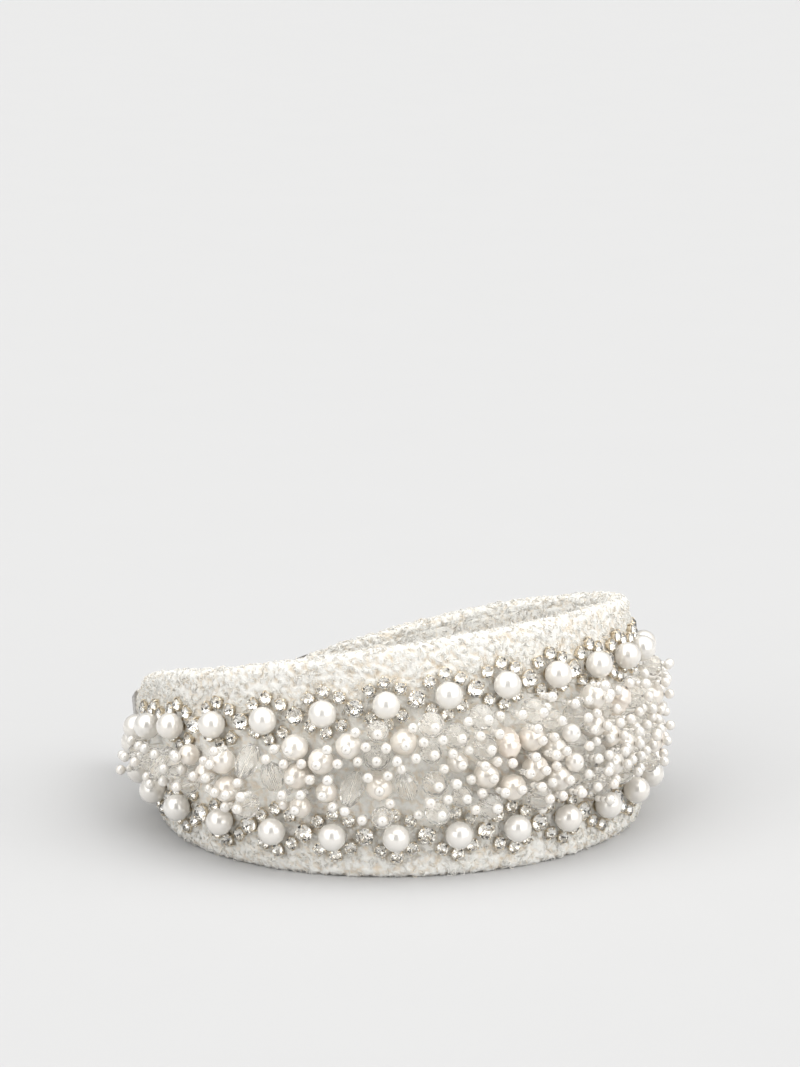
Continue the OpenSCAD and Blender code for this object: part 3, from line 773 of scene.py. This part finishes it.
def filled_out(stations):
    """How far the wrap fills out round the places where it is sewn down, in millimetres, from a short
    cloth simulation of one half. The trim holds its outer face and the lining its inner face."""
    rows, directions = sections(RIGHT, stations, THICKNESS, SECTION_CORNER, SECTION_POINTS)
    few, some = np.arange(0, len(stations), CLOTH_STEP), np.arange(0, SECTION_POINTS, CLOTH_STEP)
    start = rows[np.ix_(few, some)]
    sewn = []
    for s in stations[few]:
        half = float(half_width(s))
        _, across, facing = outline(half, THICKNESS, SECTION_CORNER, SECTION_POINTS)
        trimmed = (np.abs(across) < half - SEWN_INSET) & (np.cos(facing) > 0)
        sewn.append((trimmed | (np.cos(facing) < -0.5) | (s > CAP_MOUTH - 3))[some])
    cloth = new_object("wrap_cloth", start.reshape(-1, 3), grid_faces(*start.shape[:2])[:, ::-1], [])
    cloth.vertex_groups.new(name="sewn").add(np.flatnonzero(np.array(sewn)).tolist(), 1.0, "REPLACE")
    modifier = cloth.modifiers.new("cloth", "CLOTH")
    modifier.settings.vertex_group_mass = "sewn"
    modifier.settings.use_pressure = True
    modifier.settings.uniform_pressure_force = CLOTH_PRESSURE
    modifier.settings.effector_weights.gravity = 0
    modifier.point_cache.frame_start, modifier.point_cache.frame_end = 1, CLOTH_FRAMES
    for frame_number in range(1, CLOTH_FRAMES + 1):
        bpy.context.scene.frame_set(frame_number)
    settled = cloth.evaluated_get(bpy.context.evaluated_depsgraph_get()).data
    after = np.empty(start.size)
    settled.vertices.foreach_get("co", after)
    moved = ((after.reshape(start.shape) - start) * directions[np.ix_(few, some)]).sum(axis=-1) / MM
    bpy.data.objects.remove(cloth)
    bpy.context.scene.frame_set(1)
    print("wrap cloth moved", round(float(moved.min()), 3), "to", round(float(moved.max()), 3), "mm")
    moved = np.clip(moved, 0, FILL_CAP)
    # The open edge at the crown's middle would curl, so it takes what its neighbour does.
    moved[:2] = moved[2]
    closed = np.append(moved, moved[:, :1], axis=1)
    around = np.array([np.interp(np.arange(SECTION_POINTS), np.append(some, SECTION_POINTS), row)
                       for row in closed])
    return np.array([np.interp(np.arange(len(stations)), few, column) for column in around.T]).T


def make_wrap(side, stations, filled):
    """The boucle wrap of one half, from the crown's middle to the tip."""
    rows, directions = sections(side, stations, THICKNESS, SECTION_CORNER, SECTION_POINTS)
    relief = yarn_relief(rows.reshape(-1, 3) / MM).reshape(rows.shape[:2])
    share = np.arange(SECTION_POINTS) / SECTION_POINTS
    spread = np.minimum(share, 1 - share) * 4
    crowned = CROWNING * (np.clip(1 - spread, 0, 1) ** 0.5 - 1) * (spread < 1.1)
    in_cap = np.clip((stations - CAP_MOUTH + CAP_RUN) / CAP_RUN, 0, 1)[:, None]
    rise = (relief - RELIEF_DROP + crowned + filled) * (1 - in_cap) - CAP_SINK * in_cap
    points = on_floor(rows + directions * rise[..., None] * MM)
    name = SIDE_NAMES[side]
    # The relief goes in as the tone, so the wrap's low spots take the gap colour as painted shade.
    wrap = strip_object(f"{name}_wrap", side, points, [WOOL], relief)
    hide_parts("crown_cover", f"{name}_arm_cover")
    bend_at_flex(wrap, side)
    rng = np.random.default_rng(31 + side)
    open_rows = stations < CAP_MOUTH - 1.5
    for edge, open_columns in (("upper", (share > 0.10) & (share < 0.42)),
                               ("lower", (share > 0.58) & (share < 0.90))):
        bare = open_columns | (stations[open_rows] > TRIM_END)[:, None]
        bare &= (share < 0.5) == (edge == "upper")
        yarn = dress_with_yarn(f"{name}_wrap_{edge}_yarn", WOOL, points[open_rows][bare],
                               directions[open_rows][bare], RIM_LOOPS, RIM_HAIRS, rng)
        bend_at_flex(yarn, side)


# ---- The lining and the layers inside ----


def make_lining(side):
    """The lining of one half, set on the inner face inside the wrap's turned-in edges."""
    stations = np.append(np.arange(0, LINING_END, LINING_STEP), LINING_END)
    rows, directions = sections(side, stations, LINING_THICKNESS, LINING_CORNER, LINING_POINTS,
                                -THICKNESS + LINING_OVERLAP, LINING_MARGIN)
    # The lining's curls are the wrap's from elsewhere, so that no pattern repeats at the rim.
    relief = yarn_relief(rows.reshape(-1, 3) / MM + 400).reshape(rows.shape[:2])
    name = SIDE_NAMES[side]
    points = rows + directions * (LINING_RELIEF * relief)[..., None] * MM
    # The relief goes in as the tone, so the lining's low spots take the gap colour as painted shade.
    lining = strip_object(f"{name}_lining", side, points, [WOOL_LINING], relief, sealed=True)
    widths = 2 * (half_width(stations) - LINING_MARGIN)
    rng = np.random.default_rng(57 + side)
    facing_in = slice(int(LINING_POINTS * 0.26), int(LINING_POINTS * 0.74))
    places, normals = (array[:-2, facing_in].reshape(-1, 3) for array in (points, directions))
    yarn = dress_with_yarn(f"{name}_lining_yarn", WOOL_LINING, places, normals,
                           LINING_LOOPS, LINING_HAIRS, rng)
    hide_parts("crown_lining", f"{name}_arm_lining")
    bend_at_flex(lining, side)
    bend_at_flex(yarn, side)


def make_layer(side, node, material, faces):
    """One of the layers inside the wrap, between its outer and inner face."""
    outer, inner = faces
    stations = np.append(np.arange(0, LAYER_END, LAYER_STEP), LAYER_END)
    rows, _ = sections(side, stations, outer - inner, 0.45 * (outer - inner), LAYER_POINTS, outer,
                       -outer * 1.2)
    name = SIDE_NAMES[side]
    layer = strip_object(f"{name}_{node}", side, rows, [material])
    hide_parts(f"crown_{node}", f"{name}_arm_{node}")
    bend_at_flex(layer, side)


WRAP_STATIONS = np.append(np.arange(0, WRAP_END, ROW_STEP), WRAP_END)
FILLED = filled_out(WRAP_STATIONS)
for each_side in (LEFT, RIGHT):
    make_wrap(each_side, WRAP_STATIONS, FILLED)
    make_lining(each_side)
    make_layer(each_side, "pad", FOAM, PAD_FACES)
    make_layer(each_side, "core", CORE, CORE_FACES)

# ---- The tip caps ----

# Place past the cap's mouth, and how far the shell stands out of the tip there.
CAP_SHAPE = ((0.0, 0.10), (0.0, 0.44), (0.15, 0.60), (0.5, 0.62), (0.9, 0.50), (1.4, 0.44), (3.0, 0.44),
             (4.4, 0.40), (5.1, 0.22), (5.38, -0.10), (5.46, -0.9))
CAP_THICKNESS, CAP_CORNER, CAP_POINTS = 6.3, 1.3, 64


def make_tip_cap(side):
    """A thin metal shell over the tip, with a rolled mouth and rounded corners."""
    rows = []
    for past, wider in CAP_SHAPE:
        s = CAP_MOUTH + past
        half = float(half_width(min(s, HALF_LENGTH))) + wider
        out, across, _ = outline(half, CAP_THICKNESS + 2 * wider, CAP_CORNER, CAP_POINTS)
        rows.append(band_point(side, np.full(CAP_POINTS, s), out + wider, across))
    name = SIDE_NAMES[side]
    cap = strip_object(f"{name}_tip_shell", side, np.array(rows), [TIP_METAL])
    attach(cap, f"{name}_arm")
    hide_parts(f"{name}_tip_cap")


for each_side in (LEFT, RIGHT):
    make_tip_cap(each_side)

# ---- The flower rows ----

ROWS = (("upper_row", "crown"), ("lower_row", "crown"), ("left_row", "left_arm"),
        ("right_row", "right_arm"))
# Distance from the cup's axis and height over its floor, as shares of the cup's width.
PRONG = ((0.48, 0.10), (0.545, 0.28), (0.545, 0.47), (0.47, 0.56), (0.37, 0.63))
PRONG_SIDES, PRONG_DEPTH, PRONG_WIDTH = 8, 0.15, 0.27
# A pearl's radius and a stone's, as shares of their plain solids' radii.
PEARL_SHARE, STONE_SHARE = 0.998, 1.19


def any_turn(rng):
    """A random spin of a piece about its own axis."""
    return rng.uniform(0, 6.28)


def ball_profile(radius, rows, hole):
    """Bottom to top of a ball drilled along its axis."""
    first = math.asin(hole / radius)
    angles = np.linspace(-math.pi / 2 + first, math.pi / 2 - first, rows)
    return [(radius * math.cos(a), radius * math.sin(a)) for a in angles]


def whole_ball(radius, sides, rows):
    """A closed ball with a small flat at each pole, facing Z."""
    points, faces = lathe(ball_profile(radius, rows, radius * 0.02), sides)
    last = len(points) - sides
    poles = [tuple(range(sides))[::-1], tuple(range(last, last + sides))]
    return points, [f for f in faces if max(f) - min(f) < sides * 2] + poles


def prong(size):
    """A claw that comes up from the cup's side and bends over the stone."""
    steps, sides = len(PRONG), PRONG_SIDES
    points = np.empty((steps, sides, 3))
    for i, (radius, height) in enumerate(PRONG):
        before, after = PRONG[max(i - 1, 0)], PRONG[min(i + 1, steps - 1)]
        way = np.array([after[0] - before[0], 0, after[1] - before[1]])
        way /= np.linalg.norm(way)
        flat = np.array([-way[2], 0, way[0]])
        slim = 0.45 if i == steps - 1 else 1.0
        for j in range(sides):
            angle = 2 * math.pi * j / sides
            points[i, j] = np.array([radius * size, 0, height * size]) + slim * (
                PRONG_DEPTH * math.cos(angle) * flat
                + PRONG_WIDTH * math.sin(angle) * np.array([0, 1, 0]))
    faces = grid_faces(steps, sides).tolist()
    faces.append([(steps - 1) * sides + j for j in range(sides)])
    return points.reshape(-1, 3), faces


def claw_cup(size):
    """A cup with a rolled rim and four claws, standing on its floor."""
    outside = [(0.02, 0.02), (size * 0.33, 0.02), (size * 0.38, 0.10), (size * 0.47, size * 0.30),
               (size * 0.5, size * 0.39)]
    inside = [(size * 0.497, size * 0.42), (size * 0.46, size * 0.42), (size * 0.44, size * 0.38),
              (size * 0.34, size * 0.10), (size * 0.2, 0.35), (0.02, 0.33)]
    wall = lathe(outside + inside, 28)
    claws = [placed(prong(size), (0, 0, 0), (0, 0, 1), math.pi / 4 + k * math.pi / 2) for k in range(4)]
    return merged([wall, *claws])


def cut_stone():
    """A round brilliant of unit radius about its girdle: glass above, foil below."""
    def ring(radius, height, count, turn):
        angle = 2 * math.pi * (np.arange(count) + turn) / count
        return np.stack([radius * np.cos(angle), radius * np.sin(angle), np.full(count, height)], axis=1)

    table, middle = ring(0.55, 0.50, 8, 0), ring(0.80, 0.30, 8, 0.5)
    girdle, lower = ring(1.0, 0.05, 16, 0), ring(1.0, 0.0, 16, 0)
    pavilion, culet = ring(0.52, -0.42, 8, 0), np.array([[0, 0, -0.74]])
    points = np.concatenate([table, middle, girdle, lower, pavilion, culet])
    top, mid, rim, low, back, tip = 0, 8, 16, 32, 48, 56
    glass, foil = [tuple(range(8))], []
    for i in range(8):
        after, before = (i + 1) % 8, (i - 1) % 8
        here, between, further, earlier = 2 * i, 2 * i + 1, (2 * i + 2) % 16, (2 * i - 1) % 16
        glass += [(top + i, mid + before, rim + here, mid + i), (top + i, mid + i, top + after)]
        glass += [(mid + i, rim + here, rim + between), (mid + i, rim + between, rim + further)]
        foil += [(back + i, low + between, low + here), (back + i, low + here, low + earlier)]
        foil += [(back + i, back + after, low + between), (back + after, back + i, tip)]
    edge = [(low + k, low + (k + 1) % 16, rim + (k + 1) % 16, rim + k) for k in range(16)]
    return points, glass + edge + foil, [0] * (len(glass) + len(edge)) + [1] * len(foil)


def dress(node, body, shapes, materials, smooth=True):
    """One object in place of a node, riding on its body."""
    obj = joined(f"{node}_detail", shapes, materials, smooth)
    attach(obj, body)
    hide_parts(node)


def dress_row(row, body):
    """A row's pearls, its stones and their cups. The seats keep their plain shape in cup metal."""
    rng = np.random.default_rng(len(row) + len(body))
    pearls = [placed(whole_ball(radius * PEARL_SHARE, 48, 26), centre, axis, any_turn(rng))
              for centre, axis, _, _, radius in set_pieces(f"{row}_pearls")]
    dress(f"{row}_pearls", body, pearls, [ROW_PEARL])
    cups = [placed(claw_cup(2 * radius / MM), centre + axis * low, axis, any_turn(rng), MM)
            for centre, axis, low, _, radius in set_pieces(f"{row}_cups")]
    dress(f"{row}_cups", body, cups, [CUP_METAL])
    for kind in ("small", "large"):
        stones = [placed(cut_stone(), centre + axis * (high - 0.5 * radius), axis, any_turn(rng),
                         radius * STONE_SHARE)
                  for centre, axis, _, high, radius in set_pieces(f"{row}_{kind}_stones")]
        dress(f"{row}_{kind}_stones", body, stones, [STONE_GLASS, FOIL], smooth=False)
    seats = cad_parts[f"{row}_seats"]
    seats.data.materials.clear()
    seats.data.materials.append(CUP_METAL)


for row_name, row_body in ROWS:
    dress_row(row_name, row_body)

# ---- The fringe ----

# Radius of the hole along a bead's axis, and along a stopper's, in millimetres.
DRILL = 0.35
PINHOLE = 0.16
FRINGES = (("crown_fringe", "crown"), ("left_fringe", "left_arm"), ("right_fringe", "right_arm"))
PEARLY_SEEDS = 0.45
PLY_RADIUS, PLY_OFFSET, PLY_STEP, PLY_TURN = 0.11, 0.09, 0.45, 3.4


def uneven_pearl(radius, rng):
    """A pearl that is a little out of round, in millimetres."""
    points, faces = lathe(ball_profile(radius, 20, DRILL), 32)
    shift = rng.uniform(0, 500, 3)
    rise = 0.10 * swell(points + shift, 2.6, 4) + 0.05 * swell(points + shift, 1.1, 6)
    length = np.linalg.norm(points, axis=1)
    hold = np.clip((np.hypot(points[:, 0], points[:, 1]) - DRILL) / 0.8, 0, 1)
    return points * (1 + (rise - 0.12) * hold / length)[:, None], faces


def ringed_pearl(length, width, rng):
    """A baroque pearl with a few uneven rings round it, in millimetres."""
    heights = np.linspace(-1, 1, 34)
    body = np.sqrt(np.clip(1 - np.abs(heights) ** 2.6, 0.004, 1))
    rings = 1 + 0.035 * np.sin(heights * 9 + rng.uniform(0, 6)) + 0.02 * np.sin(heights * 21 + 1)
    radii = np.maximum(body * rings * width / 2 * 0.97, DRILL)
    points, faces = lathe(list(zip(radii, heights * length / 2)), 36)
    rise = 0.12 * swell(points + rng.uniform(0, 500, 3), 3.0, 8)
    radius = np.hypot(points[:, 0], points[:, 1])
    scale = 1 + (rise - 0.1) * np.clip((radius - DRILL) / 0.8, 0, 1) / np.maximum(radius, DRILL)
    return points * np.stack([scale, scale, np.ones_like(scale)], axis=1), faces


def cut_bead(length, width, sides):
    """A drilled crystal bead whose rows of facets are half a step apart, in millimetres."""
    profile = [(DRILL, -1), (0.42, -0.93), (0.82, -0.6), (1, -0.2), (1, 0.2), (0.82, 0.6), (0.42, 0.93),
               (DRILL, 1)]
    rows = [(r if r == DRILL else r * width / 2, h * length / 2) for r, h in profile]
    return lathe(rows, sides, stagger=True)


def seed_bead(radius, height):
    """A rounded drilled seed bead, in millimetres."""
    profile = [(DRILL, 0.12), (0.6, 0.0), (0.86, 0.14), (1.0, 0.5), (0.86, 0.86), (0.6, 1.0),
               (DRILL, 0.88)]
    return lathe([(r if r == DRILL else r * radius, (h - 0.5) * height) for r, h in profile], 14)


def twisted_thread(foot, tip):
    """Two plies turned round each other from foot to tip, in metres."""
    length = float(np.linalg.norm(tip - foot)) / MM
    steps, sides = max(3, int(length / PLY_STEP)), 4
    heights = np.linspace(0, length, steps)
    shapes = []
    for ply in (0, math.pi):
        turn = heights * PLY_TURN + ply
        spine = np.stack([PLY_OFFSET * np.cos(turn), PLY_OFFSET * np.sin(turn), heights], axis=1)
        around = 2 * math.pi * np.arange(sides) / sides
        ring = PLY_RADIUS * np.stack([np.cos(around), np.sin(around), 0 * around], axis=1)
        points = (spine[:, None] + ring[None]).reshape(-1, 3)
        shapes.append((points, grid_faces(steps, sides).tolist()))
    return placed(merged(shapes), foot, tip - foot, 0.0, MM)


def dress_fringe(prefix, body):
    """A body's share of the fringe: beads, crystals, stoppers and seeds on their threads."""
    rng = np.random.default_rng(len(prefix) * 5 + len(body))
    threads = stems(f"{prefix}_threads")

    def strung(kind, build, materials, smooth=True):
        node = f"{prefix}_{kind}"
        shapes = [placed(build((high - low) / MM, radius / MM), centre + axis * (high + low) / 2, axis,
                         any_turn(rng), MM)
                  for centre, axis, low, high, radius in strung_pieces(node, threads)]
        dress(node, body, shapes, materials, smooth)

    strung("pearls", lambda length, radius: uneven_pearl(radius, rng), [FRINGE_PEARL])
    if prefix == "crown_fringe":
        strung("baroques", lambda length, radius: ringed_pearl(length, 2 * radius, rng), [BAROQUE_PEARL])
    strung("crystals", lambda length, radius: cut_bead(length, 2 * radius, 10), [CRYSTAL], smooth=False)
    strung("ovals", lambda length, radius: cut_bead(length, 2 * radius, 8), [CRYSTAL], smooth=False)
    strung("stoppers", lambda length, radius: lathe(ball_profile(radius, 12, PINHOLE), 24),
           [STOPPER_PEARL])

    def seed(length, radius):
        points, faces = seed_bead(radius, length)
        return points, faces, [int(rng.random() < 1 - PEARLY_SEEDS)] * len(faces)

    strung("seeds", seed, [STOPPER_PEARL, SEED_GLASS])
    dress(f"{prefix}_threads", body, [twisted_thread(foot, tip) for foot, tip, _ in threads], [THREAD])


for fringe_name, fringe_body in FRINGES:
    dress_fringe(fringe_name, fringe_body)

# ---- Floor, light and camera ----

CAMERA_PLACE = (-0.7100, -0.8220, 0.3194)
CAMERA_YAW, CAMERA_PITCH = 0.715, 0.216
CAMERA_LENS = 129.8
RIGHTWARD = Vector((math.cos(CAMERA_YAW), -math.sin(CAMERA_YAW), 0))
AWAY = Vector((math.sin(CAMERA_YAW), math.cos(CAMERA_YAW), 0))
UP = Vector((0, 0, 1))
SOFTBOX = RIGHTWARD * 0.15 - AWAY * 0.8 + UP * 0.9
KEY = RIGHTWARD * 0.6 - AWAY * 0.1 + UP
SOFTBOX_LIGHT, ROOM_LIGHT, KEY_LIGHT = 1.84, 0.36, 0.26
# Where the soft light fades in, as the cosine of the angle from its middle.
SOFTBOX_EDGE = (0.0, 0.7)
# Where the dark gap in it fades in, as an angle to each side and as a height.
GAP_SIDES, GAP_TOP = (0.42, 0.30), (0.80, 0.74)
FLOOR_HALF = 30.0


def make_floor():
    """A plain pale paper floor."""
    material, tree, shader = new_material("paper_floor")
    grain = add(tree, "ShaderNodeTexNoise", {"Vector": millimetres(tree), "Scale": 0.02, "Detail": 3.0})
    tint = ramp(tree, grain.outputs["Fac"], ((0.0, (0.555, 0.556, 0.561)), (1.0, (0.563, 0.564, 0.569))))
    connect(tree, shader, Base_Color=tint)
    values(shader, Roughness=1.0, Specular_IOR_Level=0.05)
    corners = [(x * FLOOR_HALF, y * FLOOR_HALF, 0) for x, y in ((-1, -1), (1, -1), (1, 1), (-1, 1))]
    floor = new_object("floor", corners, [(0, 1, 2, 3)], [material], smooth=False)


def make_world():
    """A pale room: a wide soft light in front and above, with a dark gap that the pearls mirror."""
    world = bpy.data.worlds.new("pale_room")
    bpy.context.scene.world = world
    world.use_nodes = True
    tree = world.node_tree
    direction = add(tree, "ShaderNodeTexCoord").outputs["Generated"]

    def share_along(axis):
        return add(tree, "ShaderNodeVectorMath", {0: direction, 1: tuple(axis)},
                   operation="DOT_PRODUCT").outputs["Value"]

    def eased(value, low, high):
        return add(tree, "ShaderNodeMapRange", {"Value": value, "From Min": low, "From Max": high},
                   interpolation_type="SMOOTHSTEP").outputs[0]

    def times(one, other):
        return add(tree, "ShaderNodeMath", {0: one, 1: other}, operation="MULTIPLY").outputs[0]

    sideways = add(tree, "ShaderNodeMath", {0: share_along(RIGHTWARD), 1: share_along(-AWAY)},
                   operation="ARCTAN2").outputs[0]
    offset = add(tree, "ShaderNodeMath", {0: sideways}, operation="ABSOLUTE").outputs[0]
    gap = times(eased(offset, *GAP_SIDES), eased(share_along(UP), *GAP_TOP))
    front = times(eased(share_along(SOFTBOX.normalized()), *SOFTBOX_EDGE), SOFTBOX_LIGHT)
    lit = add(tree, "ShaderNodeMath", {0: front, 1: ROOM_LIGHT}, operation="ADD").outputs[0]
    kept = add(tree, "ShaderNodeMath", {0: 1.0, 1: gap}, operation="SUBTRACT").outputs[0]
    tint = add(tree, "ShaderNodeCombineColor", {0: 1.0, 1: 0.997, 2: 0.985}).outputs[0]
    tree.links.new(tint, tree.nodes["Background"].inputs["Color"])
    tree.links.new(times(lit, kept), tree.nodes["Background"].inputs["Strength"])


def make_key_light():
    """A weak, wide and slightly warm light from above, which gives the shadows a side."""
    lamp = bpy.data.lights.new("key", "SUN")
    lamp.energy, lamp.angle, lamp.color = KEY_LIGHT, math.radians(30), (1.0, 0.99, 0.97)
    key = bpy.data.objects.new("key", lamp)
    bpy.context.scene.collection.objects.link(key)
    key.rotation_euler = KEY.to_track_quat("Z", "Y").to_euler()


def make_camera():
    lens = bpy.data.cameras.new("camera")
    lens.lens, lens.sensor_width = CAMERA_LENS, 36.0
    lens.clip_start, lens.clip_end = 0.01, 100.0
    camera = bpy.data.objects.new("camera", lens)
    bpy.context.scene.collection.objects.link(camera)
    camera.location = CAMERA_PLACE
    camera.rotation_euler = (math.pi / 2 - CAMERA_PITCH, 0, -CAMERA_YAW)
    bpy.context.scene.camera = camera


make_floor()
make_world()
make_key_light()
make_camera()
bpy.context.scene.view_settings.view_transform = "Standard"
